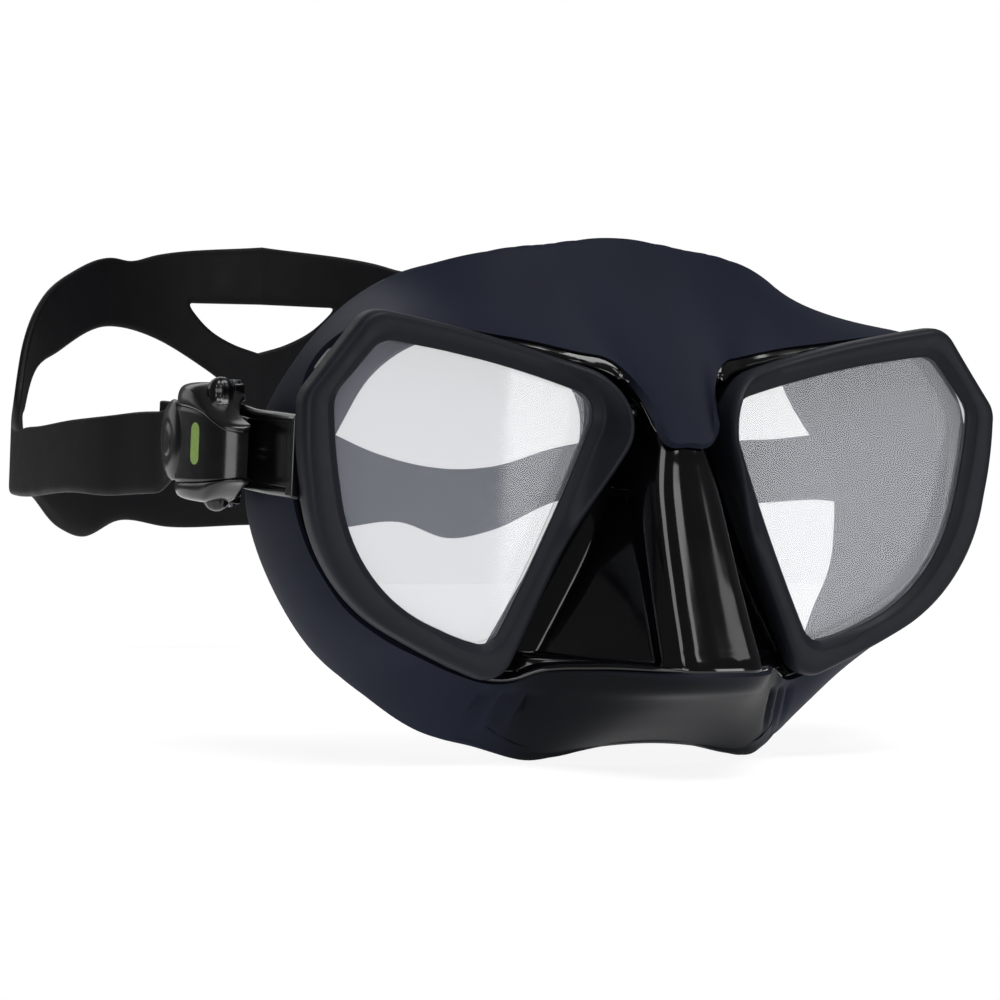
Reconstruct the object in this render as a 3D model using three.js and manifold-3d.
// A low-volume two-window diving mask: rigid frame and rims, glass lenses, silicone skirt with
// a nose pocket, and a split silicone strap held by two swivelling quick-adjust buckles.
// Millimetres. +Z is up, the mask looks along -Y, and the wearer's left side is +X.
// The origin is midway between the lenses, on the front face of the glass.
// Everything on the wearer's right (-X) is drawn once and mirrored for the left.
import * as THREE from "three";
import { mergeVertices } from "three/addons/utils/BufferGeometryUtils.js";
import Module from "manifold-3d";

const wasm = await Module();
wasm.setup();

// ---------- driving dimensions ----------
const GAP = 0.3; // clearance between pieces that touch

const GLASS_THICK = 3.2;
const GLASS_UNDER_RIM = 2.0; // how far the glass reaches under the rim's lip
const GLASS_REBATE = 0.3; // how far the glass's edge steps back from both of its faces
const FRAME_INNER = GLASS_UNDER_RIM + GAP; // distances outward from the window's edge
const FRAME_OUTER = 4.6;
const FRAME_BACK = 3.0; // Y of the frame's and rims' rear faces
const RIM_WALL = FRAME_OUTER + GAP;
const RIM_BACK_OF_LIP = -GAP;
const RIM_FRONT = -2.5;
const RIM_EDGE_FRONT = -1.1;

const SKIRT_FRONT = FRAME_BACK + GAP;
const SKIRT_WALL = 2.0;
const SEAL_LIP = 15; // width of the inward-turned flap that seals on the face
const SEAL_START = 0.88; // how far along the side wall the flap begins

const BUCKLE_Z = 7.5; // height of the buckles' mid plane
const SWIVEL = { x: 80.8, y: 31.0, r: 1.2 };
const BUTTON = { x: 85.2, y: 27.9, r: 2.7, collar: 2.95, stem: 1.5, foot: 4.2, tip: 13.4 };
const CHEEK = { inner: 8.6, outer: 11.5 }; // heights above the mid plane
const ROLLER = { x: 84.6, y: 42.0, r: 1.6, pin: 0.7 };
const PAWL = { x: 84.6, y: 35.2, pin: 0.7 };
const FORK_BAR = { z: 8.1, r: 1.0, eye: 2.0 };
const BORE_PLAY = 0.05; // radial clearance of each pin in its hole

const STRAP_THICK = 1.8;
const STRAP_SIDE = 93; // half width of the strap loop
const STRAP_BACK = 199; // Y of the strap behind the head
const STRAP_WIDEST = 88; // Y where the loop is widest
const STRAP_SQUARENESS = 2.3; // exponent of the superellipse behind the head
const TAIL_START = 74; // Y where the plain tails begin
const TAIL_HALF = 6.9; // half height of the tail inside the buckle

// ---------- materials ----------
const material = (name, color, roughness, metalness = 0) => {
  const made = new THREE.MeshStandardMaterial({ color, roughness, metalness });
  made.name = name;
  return made;
};
const materials = {
  rim: material("rim", 0x2a2d35, 0.55),
  silicone: material("silicone", 0x1c1d21, 0.5),
  gloss: material("gloss", 0x0d0e10, 0.12),
  glass: material("glass", 0xdfe4ec, 0.04),
  steel: material("steel", 0xb8bcc2, 0.3, 1),
};
materials.glass.transparent = true;
materials.glass.opacity = 0.35;

// ---------- geometry helpers ----------
const v2 = (x, y) => new THREE.Vector2(x, y);
const v3 = (x, y, z) => new THREE.Vector3(x, y, z);

// A closed mesh from points and triangles, turned so that its faces point out.
function closedMesh(points, triangles) {
  let volume = 0;
  for (const [a, b, c] of triangles) {
    volume += points[a].dot(v3(0, 0, 0).crossVectors(points[b], points[c]));
  }
  const faces = volume < 0 ? triangles.map(([a, b, c]) => [a, c, b]) : triangles;
  const geometry = new THREE.BufferGeometry().setFromPoints(points);
  geometry.setIndex(faces.flat());
  return geometry;
}

// Joins equal sections (lists of points) into one skin. A ring of sections closes on itself;
// otherwise both end sections are capped with a fan about their middle.
function loft(sections, isRing = false) {
  const size = sections[0].length;
  const points = sections.flat();
  const triangles = [];
  const last = isRing ? sections.length : sections.length - 1;
  for (let i = 0; i < last; i++) {
    const here = i * size;
    const next = ((i + 1) % sections.length) * size;
    for (let j = 0; j < size; j++) {
      const k = (j + 1) % size;
      triangles.push([here + j, next + j, next + k], [here + j, next + k, here + k]);
    }
  }
  if (!isRing) {
    for (const [start, turn] of [[0, true], [(sections.length - 1) * size, false]]) {
      const middle = v3(0, 0, 0);
      points.slice(start, start + size).forEach((p) => middle.addScaledVector(p, 1 / size));
      const centre = points.push(middle) - 1;
      for (let j = 0; j < size; j++) {
        const edge = [start + j, start + ((j + 1) % size)];
        triangles.push(turn ? [centre, edge[0], edge[1]] : [centre, edge[1], edge[0]]);
      }
    }
  }
  return closedMesh(points, triangles);
}

function toSolid(geometry) {
  const bare = geometry.clone();
  bare.deleteAttribute("normal");
  bare.deleteAttribute("uv");
  const merged = mergeVertices(bare, 1e-4);
  return new wasm.Manifold(
    new wasm.Mesh({
      numProp: 3,
      vertProperties: new Float32Array(merged.attributes.position.array),
      triVerts: new Uint32Array(merged.index.array),
    }),
  );
}

function toGeometry(solid) {
  const mesh = solid.getMesh();
  const points = [];
  for (let i = 0; i < mesh.numVert; i++) {
    points.push(v3(...mesh.vertProperties.subarray(i * mesh.numProp, i * mesh.numProp + 3)));
  }
  const geometry = new THREE.BufferGeometry().setFromPoints(points);
  geometry.setIndex([...mesh.triVerts]);
  return geometry;
}

const join = (first, ...rest) =>
  toGeometry(rest.reduce((sum, g) => sum.add(toSolid(g)), toSolid(first)));
const cut = (first, ...rest) =>
  toGeometry(rest.reduce((sum, g) => sum.subtract(toSolid(g)), toSolid(first)));

// The same body on the other side of X = 0, with its triangles turned to face out again.
function mirrored(geometry) {
  const copy = geometry.clone().scale(-1, 1, 1);
  const corners = copy.index.array;
  for (let i = 0; i < corners.length; i += 3) {
    [corners[i + 1], corners[i + 2]] = [corners[i + 2], corners[i + 1]];
  }
  return copy;
}

// An upright solid: an outline in plan (x, y) raised from z0 to z1.
function upright(outline, z0, z1, curveSegments = 6) {
  const shape = outline instanceof THREE.Shape ? outline : new THREE.Shape(outline);
  const made = new THREE.ExtrudeGeometry(shape, {
    depth: z1 - z0,
    bevelEnabled: false,
    curveSegments,
  });
  return made.translate(0, 0, z0);
}

function post(x, y, r, z0, z1, sides = 20) {
  const made = new THREE.CylinderGeometry(r, r, z1 - z0, sides);
  return made.rotateX(Math.PI / 2).translate(x, y, (z0 + z1) / 2);
}

function block(x0, x1, y0, y1, z0, z1) {
  const made = new THREE.BoxGeometry(x1 - x0, y1 - y0, z1 - z0);
  return made.translate((x0 + x1) / 2, (y0 + y1) / 2, (z0 + z1) / 2);
}

// ---------- window and rim outlines ----------
// Corners in the lens plane, clockwise from the upper corner beside the nose:
// position (x, z), rounding radius, and how far the side after the corner bows out.
const WINDOW = [
  { x: 14.5, z: 19.6, r: 5, bow: 1.0 },
  { x: 64.1, z: 30.3, r: 5, bow: 0 },
  { x: 74.2, z: 18.7, r: 6, bow: 0.3 },
  { x: 69.0, z: -19.8, r: 34, bow: 0.2 },
  { x: 37.4, z: -30.8, r: 4.5, bow: 0.6 },
];
const RIM = [
  { x: 5.8, z: 22.8, r: 12, bow: 0.8 },
  { x: 66.8, z: 36.6, r: 6, bow: 0 },
  { x: 80.8, z: 18.8, r: 6, bow: 0.4 },
  { x: 77.4, z: -19.6, r: 36, bow: 0.3 },
  { x: 35.4, z: -39.0, r: 6, bow: 0 },
];
const ARC_STEPS = 6;
const SIDE_STEPS = 5;

// Walks a rounded outline with the same number of points whatever its sizes.
function roundedOutline(corners) {
  const count = corners.length;
  const arcs = corners.map((corner, i) => {
    const here = v2(corner.x, corner.z);
    const toBefore = v2(corners[(i + count - 1) % count].x, corners[(i + count - 1) % count].z)
      .sub(here)
      .normalize();
    const toAfter = v2(corners[(i + 1) % count].x, corners[(i + 1) % count].z)
      .sub(here)
      .normalize();
    const half = Math.acos(toBefore.dot(toAfter)) / 2;
    const bisector = toBefore.clone().add(toAfter).normalize();
    const centre = here.clone().addScaledVector(bisector, corner.r / Math.sin(half));
    const start = here.clone().addScaledVector(toBefore, corner.r / Math.tan(half)).sub(centre);
    const turn = -(Math.PI - 2 * half);
    const points = [];
    for (let k = 0; k <= ARC_STEPS; k++) {
      points.push(start.clone().rotateAround(v2(0, 0), (turn * k) / ARC_STEPS).add(centre));
    }
    return points;
  });
  return arcs.flatMap((arc, i) => {
    const from = arc[arc.length - 1];
    const to = arcs[(i + 1) % count][0];
    const out = v2(-(to.y - from.y), to.x - from.x).normalize();
    const side = [];
    for (let k = 1; k < SIDE_STEPS; k++) {
      const s = k / SIDE_STEPS;
      side.push(from.clone().lerp(to, s).addScaledVector(out, 4 * corners[i].bow * s * (1 - s)));
    }
    return [...arc, ...side];
  });
}

const windowEdge = roundedOutline(WINDOW);
const rimEdge = roundedOutline(RIM);

// The rims rise towards the nose: how far forward (-Y) the rim's outer edge stands at x, z.
const NOSE_FLARE = 8.2;
const FLARE_REACH = 24; // distance from the flare's middle at which it has died away
const FLARE_MIDDLE = { x: 8, z: 12 };
function flare(point) {
  const away = Math.hypot(point.x - FLARE_MIDDLE.x, (point.y - FLARE_MIDDLE.z) * 0.75);
  const fade = Math.max(0, 1 - away / FLARE_REACH);
  return -NOSE_FLARE * fade * fade * (3 - 2 * fade);
}

// A solid that follows the window's edge. profile gives each section as [outward, y] pairs.
function aroundWindow(profile) {
  const sections = windowEdge.map((edge, i) => {
    const outward = rimEdge[i].clone().sub(edge);
    const width = outward.length();
    outward.normalize();
    return profile(width, flare(rimEdge[i])).map(([r, y]) =>
      v3(-(edge.x + outward.x * r), y, edge.y + outward.y * r),
    );
  });
  return loft(sections, true);
}

function rim() {
  const bevel = 1.8; // width of the inner chamfer that frames the glass
  const edge = 1.0; // width of the outer chamfer
  const ring = aroundWindow((width, rise) => [
    [0, -1.3],
    [bevel, RIM_FRONT],
    [width - edge, RIM_FRONT + rise],
    [width, RIM_EDGE_FRONT + rise],
    [width, FRAME_BACK],
    [RIM_WALL, FRAME_BACK],
    [RIM_WALL, RIM_BACK_OF_LIP],
    [0, RIM_BACK_OF_LIP],
  ]);
  return cut(ring, bridgeBar(GAP)); // a notch lets the frame's bridge through
}

// A plate across the right window, its edge moved outward by reach, from y0 back to y1.
function windowPlate(reach, y0, y1) {
  const outline = windowEdge.map((edge, i) => {
    const outward = rimEdge[i].clone().sub(edge).normalize();
    const p = edge.clone().addScaledVector(outward, reach);
    return v2(-p.x, p.y);
  });
  const made = new THREE.ExtrudeGeometry(new THREE.Shape(outline), {
    depth: y1 - y0,
    bevelEnabled: false,
  });
  return made.rotateX(Math.PI / 2).translate(0, y1, 0);
}

// The glass: its faces fill the window, and its thinner edge is held under the rim's lip.
function lens() {
  const back = GLASS_THICK - GAP;
  const face = windowPlate(-GLASS_REBATE, 0, back);
  const edge = windowPlate(GLASS_UNDER_RIM, GLASS_REBATE, back - GLASS_REBATE);
  return join(face, edge);
}

// ---------- frame ----------
const BRIDGE = { z0: 14.5, z1: 18.5, reach: 13.2 };

function frameRing() {
  return aroundWindow(() => [
    [FRAME_INNER, 0],
    [FRAME_OUTER, 0],
    [FRAME_OUTER, FRAME_BACK],
    [FRAME_INNER, FRAME_BACK],
  ]);
}

const bridgeBar = (grow) =>
  block(
    -BRIDGE.reach - grow,
    BRIDGE.reach + grow,
    -grow,
    FRAME_BACK + grow,
    BRIDGE.z0 - grow,
    BRIDGE.z1 + grow,
  );

function mainFrame() {
  return join(frameRing(), mirrored(frameRing()), bridgeBar(0));
}

// ---------- skirt ----------
// Half outlines from the top centre round the wearer's left to the bottom centre, one row for
// each rib: where the wall leaves the rims, and the outer edge of the sealing flange.
const SKIRT_RIBS = [
  { front: [0, SKIRT_FRONT, 25], flange: [0, 22, 52] },
  { front: [20, SKIRT_FRONT, 26], flange: [24, 24, 50.5] },
  { front: [44, SKIRT_FRONT, 31], flange: [44.6, 31.5, 43.6] },
  { front: [63, SKIRT_FRONT, 33], flange: [56, 37.6, 34.8] },
  { front: [74.5, SKIRT_FRONT, 20], flange: [69, 36, 19] },
  { front: [75.5, SKIRT_FRONT, 3], flange: [77, 33.5, -3] },
  { front: [72, SKIRT_FRONT, -13], flange: [75, 32, -13] },
  { front: [62, SKIRT_FRONT, -25], flange: [69.5, 28, -26] },
  { front: [49, SKIRT_FRONT, -32], flange: [60.3, 26, -37.5] },
  { front: [36, SKIRT_FRONT, -38], flange: [44.8, 18, -49.5] },
  { front: [24, -2, -42], flange: [28.5, 6, -54.5] },
  { front: [12, -5, -42], flange: [14, 3, -52] },
  { front: [0, -6, -41], flange: [0, 2, -50.5] },
];
const SKIRT_CENTRE_Z = -2;

// A closed ring round the skirt: part of the way from the rims (0) to the flange (1), drawn in
// towards the middle by inset and moved back by shift.
function skirtRing(part, inset, shift) {
  const along = SKIRT_RIBS.map((rib) => v3(...rib.front).lerp(v3(...rib.flange), part));
  const right = along.slice(1, -1).reverse();
  const all = [...along, ...right.map((p) => p.clone().multiply(v3(-1, 1, 1)))];
  const curve = new THREE.CatmullRomCurve3(all, true);
  const points = [];
  const count = all.length * 2;
  for (let i = 0; i < count; i++) {
    const p = curve.getPoint(i / count);
    const reach = Math.hypot(p.x, p.z - SKIRT_CENTRE_Z);
    const keep = 1 - inset / reach;
    points.push(v3(p.x * keep, p.y + shift, SKIRT_CENTRE_Z + (p.z - SKIRT_CENTRE_Z) * keep));
  }
  return points;
}

// The nose pocket is a stack of level sections. y: the front of the ridge; front: half width
// there; back: half width where it meets the rims.
const NOSE_LEVELS = [
  { z: 25, y: 1, front: 4, back: 8 },
  { z: 12, y: -11.6, front: 5, back: 7.5 },
  { z: 3, y: -12, front: 5.5, back: 9.5 },
  { z: -6, y: -16.3, front: 6.6, back: 14 },
  { z: -20, y: -23, front: 8, back: 23 },
  { z: -33, y: -30, front: 9, back: 30 },
  { z: -37, y: -28, front: 10, back: 32 },
  { z: -45, y: -13, front: 15, back: 30 },
  { z: -50.5, y: -2, front: 18, back: 26 },
];

const RIDGE_ROUNDING = 1.5; // how far back the ridge curves before the pocket's sides start
const NOSE_SIDE_Y = -1; // where the pocket's sides meet the rims

function noseStack(levels, wall, backY) {
  return loft(
    levels.map(({ z, y, front, back }) => {
      const half = [
        [front - wall, y + wall + RIDGE_ROUNDING],
        [back - wall, NOSE_SIDE_Y],
        [back - wall, backY],
      ];
      const right = half.map(([x, yy]) => v3(x, yy, z));
      const left = half.map(([x, yy]) => v3(-x, yy, z)).reverse();
      return [v3(0, y + wall, z), ...right, ...left];
    }),
  );
}

// Where each cutting body starts and ends, so that it passes right through the skirt's wall.
const NOSE_BACK = 6;
const POCKET = { top: 5, bottom: -46, back: 30 };
const FACE_HOLE = { front: -7, back: 12 }; // distances from the flange's edge
const WINDOW_HOLE_BACK = 12;
const RIM_ROOM_FRONT = -37; // well in front of the tip of the nose

function skirt() {
  const body = loft([skirtRing(0, 0, 0), skirtRing(1, 0, 0)]);
  const cavity = loft([
    skirtRing(0, 1.5 * SKIRT_WALL, SKIRT_WALL),
    skirtRing(SEAL_START, 1.5 * SKIRT_WALL, 0),
  ]);
  const opening = loft([
    skirtRing(1, SEAL_LIP, FACE_HOLE.front),
    skirtRing(1, SEAL_LIP, FACE_HOLE.back),
  ]);
  const nose = noseStack(NOSE_LEVELS, 0, NOSE_BACK);
  const pocketLevels = NOSE_LEVELS.filter(({ z }) => z < POCKET.top && z > POCKET.bottom);
  const pocket = noseStack(pocketLevels, SKIRT_WALL, POCKET.back);
  const shell = join(body, nose);
  return cut(shell, cavity, opening, pocket, ...holesFor(1), ...holesFor(-1), bridgeBar(GAP));
}

// What one side cuts from the skirt: the hole behind its lens, and the room for its rim.
function holesFor(side) {
  const rimRoom = rimEdge.map((p, i) => {
    const outward = p.clone().sub(windowEdge[i]).normalize();
    return p.clone().addScaledVector(outward, GAP);
  });
  return [
    { outline: windowEdge, y0: 0, y1: WINDOW_HOLE_BACK },
    { outline: rimRoom, y0: RIM_ROOM_FRONT, y1: SKIRT_FRONT },
  ].map(({ outline, y0, y1 }) => {
    const shape = new THREE.Shape(outline.map((p) => v2(side * p.x, p.y)));
    const made = new THREE.ExtrudeGeometry(shape, { depth: y1 - y0, bevelEnabled: false });
    return made.rotateX(Math.PI / 2).translate(0, y1, 0);
  });
}

// ---------- fork: the yoke that carries a buckle ----------
const upper = (z) => BUCKLE_Z + z;
const lower = (z) => BUCKLE_Z - z;

const FORK_ROOT = { inner: 77.0, outer: 80.4, back: 7.5, halfHeight: 9.2 };
const FORK_WEB = [v2(-79.6, 6), v2(-79.9, 17), v2(-80.1, 26), v2(-79.1, 26), v2(-78.4, 6)];
const FORK_ARM = [v2(-78.7, 5), v2(-79.2, 16), v2(-SWIVEL.x, SWIVEL.y)]; // the bars' line in plan

function fork() {
  const { inner, outer, back, halfHeight } = FORK_ROOT;
  const root = block(-outer, -inner, SKIRT_FRONT, back, lower(halfHeight), upper(halfHeight));
  const barZ = FORK_BAR.z - FORK_BAR.r;
  const web = upright(FORK_WEB, lower(barZ), upper(barZ));
  const bars = [1, -1].map((side) => {
    const z = BUCKLE_Z + side * barZ;
    const arm = new THREE.CatmullRomCurve3(FORK_ARM.map((p) => v3(p.x, p.y, z)));
    const section = new THREE.Shape();
    section.absarc(0, 0, FORK_BAR.r, 0, 2 * Math.PI);
    const bar = new THREE.ExtrudeGeometry(section, { steps: 6, curveSegments: 5, extrudePath: arm });
    const eye = post(-SWIVEL.x, SWIVEL.y, FORK_BAR.eye, z - FORK_BAR.r, z + FORK_BAR.r);
    return [bar, eye];
  });
  const whole = join(root, web, ...bars.flat());
  return cut(whole, pinThrough(SWIVEL.x, SWIVEL.y, SWIVEL.r + BORE_PLAY, CHEEK.outer));
}

const pinThrough = (x, y, r, reach) => post(-x, y, r, lower(reach), upper(reach), 16);

// ---------- buckle ----------
// Plan of the buckle's cheeks, from the fork round the front and the outside to the rear.
function cheekPlan() {
  const plan = new THREE.Shape();
  plan.moveTo(-78.4, 33.0);
  plan.quadraticCurveTo(-79.2, 18.2, -83.3, 17.4);
  plan.quadraticCurveTo(-89.6, 17.6, -90.2, 25.0);
  plan.quadraticCurveTo(-91.4, 32.0, -90.6, 36.6);
  plan.quadraticCurveTo(-88.9, 41.6, -86.0, 45.2);
  plan.lineTo(-81.6, 45.2);
  plan.quadraticCurveTo(-78.6, 42.0, -78.4, 33.0);
  return plan;
}

const INNER_WALL = { x0: -80.4, x1: -79.2, y0: 36.6, y1: 42.4, root: 1 }; // root: depth in a cheek

function buckleBase() {
  const cheeks = [
    upright(cheekPlan(), upper(CHEEK.inner), upper(CHEEK.outer)),
    upright(cheekPlan(), lower(CHEEK.outer), lower(CHEEK.inner)),
  ];
  const { x0, x1, y0, y1, root } = INNER_WALL;
  const innerWall = block(x0, x1, y0, y1, lower(CHEEK.inner + root), upper(CHEEK.inner + root));
  const holes = [
    pinThrough(SWIVEL.x, SWIVEL.y, SWIVEL.r + BORE_PLAY, CHEEK.outer + 1),
    pinThrough(BUTTON.x, BUTTON.y, BUTTON.r + 2 * BORE_PLAY, CHEEK.outer + 1),
    pinThrough(ROLLER.x, ROLLER.y, ROLLER.pin + BORE_PLAY, CHEEK.outer - 1),
    pinThrough(PAWL.x, PAWL.y, PAWL.pin + BORE_PLAY, CHEEK.outer - 1),
  ];
  return cut(join(cheeks[0], innerWall, cheeks[1]), ...holes);
}

// The outer shell: it wraps the front, runs flat to the crease and ends in a round rear pad.
const COVER_WALL = 1.3;
const REAR_PAD = { x: 91.2, y: 39.6, r: 8.2 };
const COVER_END = 37.5; // where the cover's flat runs out under the pad

function buckleCover() {
  const half = CHEEK.inner - GAP;
  const plan = new THREE.Shape();
  plan.moveTo(-83.3, 17.8);
  plan.quadraticCurveTo(-88.6, 18.2, -89.4, 23.0);
  plan.lineTo(-REAR_PAD.x, COVER_END);
  plan.lineTo(-REAR_PAD.x + COVER_WALL, COVER_END);
  plan.lineTo(-88.9, 30.0);
  plan.lineTo(-88.2, 23.4);
  plan.quadraticCurveTo(-87.4, 19.6, -83.3, 17.8 + COVER_WALL);
  const pad = new THREE.CylinderGeometry(REAR_PAD.r, REAR_PAD.r, COVER_WALL, 36);
  pad.rotateZ(Math.PI / 2).translate(-REAR_PAD.x + COVER_WALL / 2, REAR_PAD.y, BUCKLE_Z);
  return join(upright(plan, lower(half), upper(half)), pad);
}

// A domed push button: inner stem, a collar under the cheek that keeps it in, and the head.
function button(side) {
  const domeStart = BUTTON.tip - BUTTON.r;
  const collarTop = CHEEK.inner - GAP;
  const profile = [
    v2(0, BUTTON.foot),
    v2(BUTTON.stem, BUTTON.foot),
    v2(BUTTON.stem, collarTop - 1),
    v2(BUTTON.collar, collarTop - 1),
    v2(BUTTON.collar, collarTop),
    v2(BUTTON.r, collarTop),
  ];
  const domeSteps = 5;
  for (let i = 0; i < domeSteps; i++) {
    const a = (Math.PI / 2) * (i / domeSteps);
    profile.push(v2(BUTTON.r * Math.cos(a), domeStart + BUTTON.r * Math.sin(a)));
  }
  profile.push(v2(0, BUTTON.tip));
  const made = new THREE.LatheGeometry(profile, 20).rotateX(Math.PI / 2);
  if (side < 0) made.rotateX(Math.PI);
  return made.translate(-BUTTON.x, BUTTON.y, BUCKLE_Z);
}

// The coil between the two buttons' feet.
const SPRING = { turns: 5, height: 7.6, r: 1.3, wire: 0.25 };

function spring() {
  const { turns, height, r } = SPRING;
  class Coil extends THREE.Curve {
    getPoint(t, target = v3(0, 0, 0)) {
      const a = 2 * Math.PI * turns * t;
      return target.set(r * Math.cos(a), r * Math.sin(a), height * (t - 0.5));
    }
  }
  const wire = new THREE.Shape();
  wire.absarc(0, 0, SPRING.wire, 0, 2 * Math.PI);
  const made = new THREE.ExtrudeGeometry(wire, {
    steps: turns * 10,
    curveSegments: 3,
    extrudePath: new Coil(),
  });
  return made.translate(-BUTTON.x, BUTTON.y, BUCKLE_Z);
}

// The pawl's nose bites the strap just ahead of the roller.
function pawl() {
  const half = CHEEK.inner - 2 * GAP;
  const plan = new THREE.Shape();
  plan.moveTo(-PAWL.x - 1.5, PAWL.y - 1.3);
  plan.lineTo(-PAWL.x + 1.2, PAWL.y - 1.3);
  plan.lineTo(-PAWL.x + 1.3, PAWL.y + 1.0);
  plan.lineTo(-PAWL.x + 0.3, PAWL.y + 2.6);
  plan.lineTo(-PAWL.x - 1.5, PAWL.y + 1.2);
  const body = upright(plan, lower(half), upper(half));
  return cut(body, pinThrough(PAWL.x, PAWL.y, PAWL.pin + BORE_PLAY, CHEEK.inner + 1));
}

function roller() {
  const half = CHEEK.inner - 2 * GAP;
  const body = post(-ROLLER.x, ROLLER.y, ROLLER.r, lower(half), upper(half), 18);
  return cut(body, pinThrough(ROLLER.x, ROLLER.y, ROLLER.pin + BORE_PLAY, CHEEK.inner + 1));
}

// ---------- strap ----------
// The strap's centre line in plan, from the middle of the back round to the right buckle.
function strapCurve() {
  const points = [];
  const steps = 16;
  for (let i = 0; i <= steps; i++) {
    const a = (Math.PI / 2) * (1 - i / steps);
    const power = 2 / STRAP_SQUARENESS;
    points.push(
      v3(
        -STRAP_SIDE * Math.cos(a) ** power,
        STRAP_WIDEST + (STRAP_BACK - STRAP_WIDEST) * Math.sin(a) ** power,
        0,
      ),
    );
  }
  points.push(v3(-91.6, 72, 0), v3(-89.2, 60, 0), v3(-87.4, 50, 0));
  return new THREE.CatmullRomCurve3(points, false, "centripetal");
}

// Edges of the flat strap as [distance from the middle of the back, height].
const STRAP_EDGES = {
  bottom: [[0, -22.6], [23, -23], [39, -21], [51, -24.6], [62, -22], [79, -13.5], [95, -12],
    [140, -10.2], [190, -1.5]],
  windowLow: [[4, 9], [10, 6], [20, 1.5], [32, -3.5], [53, -6.7], [62, -5.5], [76, -0.5], [95, 4]],
  windowHigh: [[4, 9], [11, 14], [17, 17.5], [30, 23.5], [45, 26], [66, 20], [85, 13.5], [95, 4]],
  topWindowLow: [[0, 20.5], [20, 32], [95, 20]],
  topWindowHigh: [[0, 32.2], [20, 32], [95, 20]],
  top: [[0, 46.7], [30, 43.7], [38, 42], [44, 42.7], [60, 39], [75, 33], [90, 22], [100, 10],
    [108, 6], [140, 5.5], [190, 12.4]],
};

function edgeHeight(edge, s) {
  const next = edge.findIndex(([at]) => at >= s);
  if (next <= 0) return edge[next === 0 ? 0 : edge.length - 1][1];
  const [s0, z0] = edge[next - 1];
  const [s1, z1] = edge[next];
  return z0 + ((z1 - z0) * (s - s0)) / (s1 - s0);
}

// A flat sheet of quads bent along the strap's line and given its thickness.
function thicken(columns, quads) {
  const points = [];
  const index = new Map();
  const add = (key, point) => {
    if (!index.has(key)) index.set(key, points.push(point) - 1);
    return index.get(key);
  };
  const corner = ([column, row], side) => {
    const { at, normal, heights } = columns[column];
    const z = heights[row];
    const key = `${column}/${z.toFixed(4)}/${side}`;
    return add(key, v3(at.x, at.y, z).addScaledVector(normal, (side * STRAP_THICK) / 2));
  };
  const triangles = [];
  const edges = new Map();
  for (const quad of quads) {
    const outer = quad.map((c) => corner(c, 1));
    const inner = quad.map((c) => corner(c, -1));
    const distinct = [0, 1, 2, 3].filter((k) => outer[k] !== outer[(k + 1) % 4]);
    const o = distinct.map((k) => outer[k]);
    const n = distinct.map((k) => inner[k]);
    for (let k = 1; k < o.length - 1; k++) {
      triangles.push([o[0], o[k], o[k + 1]], [n[0], n[k + 1], n[k]]);
    }
    o.forEach((a, k) => {
      const b = o[(k + 1) % o.length];
      const twin = `${b}/${a}`;
      if (edges.has(twin)) edges.delete(twin);
      else edges.set(`${a}/${b}`, [a, b, n[k], n[(k + 1) % o.length]]);
    });
  }
  for (const [a, b, c, d] of edges.values()) {
    triangles.push([b, a, c], [b, c, d]);
  }
  return closedMesh(points, triangles);
}

const line = strapCurve();
const lineLength = line.getLength();

function strapColumn(s) {
  const u = Math.min(1, Math.abs(s) / lineLength);
  const side = s < 0 ? 1 : -1; // the line runs to -X, its mirror image to +X
  const at = line.getPointAt(u);
  const along = line.getTangentAt(u);
  const normal = v3(along.y, -along.x, 0);
  if (side > 0) [at, normal].forEach((v) => (v.x = -v.x));
  if (normal.dot(v3(at.x, at.y - STRAP_WIDEST, 0)) < 0) normal.negate();
  return { at, normal };
}

// Where along the line the plain tail begins.
function tailDistance() {
  let u = 1;
  while (line.getPointAt(u).y < TAIL_START) u -= 0.0005;
  return u * lineLength;
}

const WINDOW_START = 4; // the side windows' ends, and the top window's outer corner
const WINDOW_END = 95;
const TOP_WINDOW_END = 20;

function strapBack() {
  const end = tailDistance();
  const stations = [0, WINDOW_START, 7, 11, 17, TOP_WINDOW_END, 26, 32, 38, 45, 51, 56, 62, 69, 76,
    82, 88, 92, WINDOW_END, 100, 108, 120, 132, 146, end];
  const both = [...stations.slice(1).map((s) => -s).reverse(), ...stations];
  const columns = both.map((s) => {
    const a = Math.abs(s);
    const height = (name) => edgeHeight(STRAP_EDGES[name], a);
    const heights = ["bottom", "windowLow", "windowHigh", "topWindowLow", "topWindowHigh", "top"]
      .map(height);
    if (a >= WINDOW_END) {
      heights[1] = heights[2] = (heights[0] + heights[5]) / 2;
      heights[3] = heights[4] = (heights[2] + heights[5]) / 2;
    }
    return { ...strapColumn(s), heights };
  });
  const quads = [];
  for (let c = 0; c < columns.length - 1; c++) {
    for (const row of [0, 2, 4]) {
      quads.push([[c, row], [c + 1, row], [c + 1, row + 1], [c, row + 1]]);
    }
  }
  return thicken(columns, quads);
}

// The tail runs into the buckle, round the front of the roller and back along the inside.
const TAIL_IN = [v2(-90.0, 63.5), v2(-88.6, 55), v2(-87.3, 48.5)]; // plan (x, y)
const TAIL_STRAIGHT = 0.6; // the strap's straight run behind the roller's middle
const TAIL_END = { straightTo: 52, x: 83.2, y: 62 };

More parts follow.
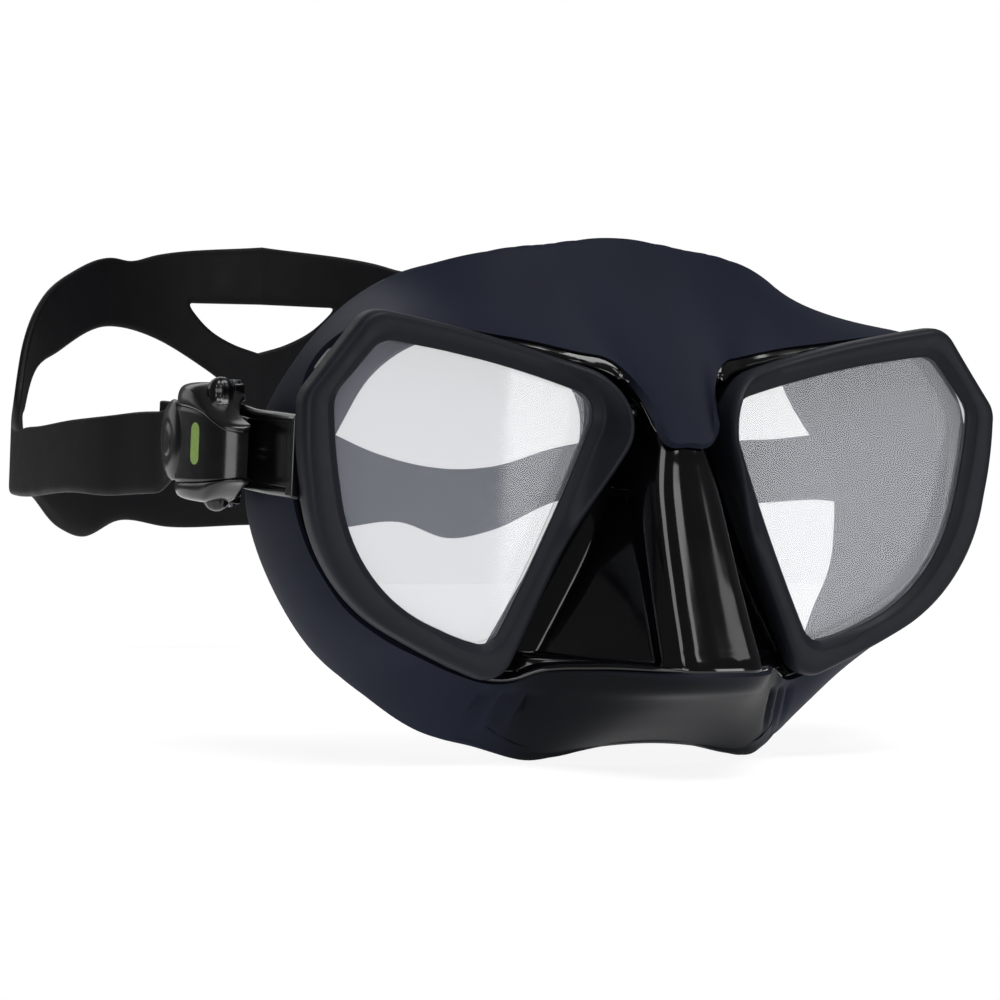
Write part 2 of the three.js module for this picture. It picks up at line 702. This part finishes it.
function strapTail() {
  const wrap = ROLLER.r + GAP + STRAP_THICK / 2;
  const start = line.getPointAt((tailDistance() + GAP + 0.1) / lineLength);
  const route = [
    v2(start.x, start.y),
    ...TAIL_IN,
    v2(-ROLLER.x - wrap, ROLLER.y + TAIL_STRAIGHT),
  ];
  const bends = 8;
  for (let i = 1; i < bends; i++) {
    const a = Math.PI * (i / bends);
    route.push(v2(-ROLLER.x - wrap * Math.cos(a), ROLLER.y - wrap * Math.sin(a)));
  }
  route.push(v2(-ROLLER.x + wrap, ROLLER.y + TAIL_STRAIGHT));
  route.push(v2(-ROLLER.x + wrap, TAIL_END.straightTo), v2(-TAIL_END.x, TAIL_END.y));
  const startHeights = [
    edgeHeight(STRAP_EDGES.bottom, tailDistance()),
    edgeHeight(STRAP_EDGES.top, tailDistance()),
  ];
  const columns = route.map((p, i) => {
    const before = route[Math.max(0, i - 1)];
    const after = route[Math.min(route.length - 1, i + 1)];
    const along = after.clone().sub(before).normalize();
    const narrow = Math.min(1, i / 3);
    return {
      at: v3(p.x, p.y, 0),
      normal: v3(along.y, -along.x, 0),
      heights: [
        THREE.MathUtils.lerp(startHeights[0], BUCKLE_Z - TAIL_HALF, narrow),
        THREE.MathUtils.lerp(startHeights[1], BUCKLE_Z + TAIL_HALF, narrow),
      ],
    };
  });
  const quads = columns.slice(1).map((_, c) => [[c, 0], [c + 1, 0], [c + 1, 1], [c, 1]]);
  return thicken(columns, quads);
}

// ---------- assembly ----------
const mask = new THREE.Group();

function addPart(parent, name, geometry, finish) {
  const mesh = new THREE.Mesh(geometry, materials[finish]);
  mesh.name = name;
  parent.add(mesh);
}

addPart(mask, "main_frame", mainFrame(), "rim");
addPart(mask, "skirt", skirt(), "silicone");
addPart(mask, "strap_back", strapBack(), "silicone");

const sideParts = [
  ["rim", rim(), "rim"],
  ["lens", lens(), "glass"],
  ["fork", fork(), "gloss"],
  ["swivel_pin", pinThrough(SWIVEL.x, SWIVEL.y, SWIVEL.r, CHEEK.outer + 1.2), "steel"],
  ["buckle_base", buckleBase(), "gloss"],
  ["buckle_cover", buckleCover(), "gloss"],
  ["button_upper", button(1), "gloss"],
  ["button_lower", button(-1), "gloss"],
  ["button_spring", spring(), "steel"],
  ["pawl", pawl(), "gloss"],
  ["pawl_pin", pinThrough(PAWL.x, PAWL.y, PAWL.pin, CHEEK.outer - 1.2), "steel"],
  ["roller", roller(), "gloss"],
  ["roller_pin", pinThrough(ROLLER.x, ROLLER.y, ROLLER.pin, CHEEK.outer - 1.2), "steel"],
  ["strap_tail", strapTail(), "silicone"],
];

for (const side of ["right", "left"]) {
  const half = new THREE.Group();
  half.scale.x = side === "left" ? -1 : 1;
  for (const [name, geometry, finish] of sideParts) {
    addPart(half, `${name}_${side}`, geometry, finish);
  }
  mask.add(half);
}

export default mask;
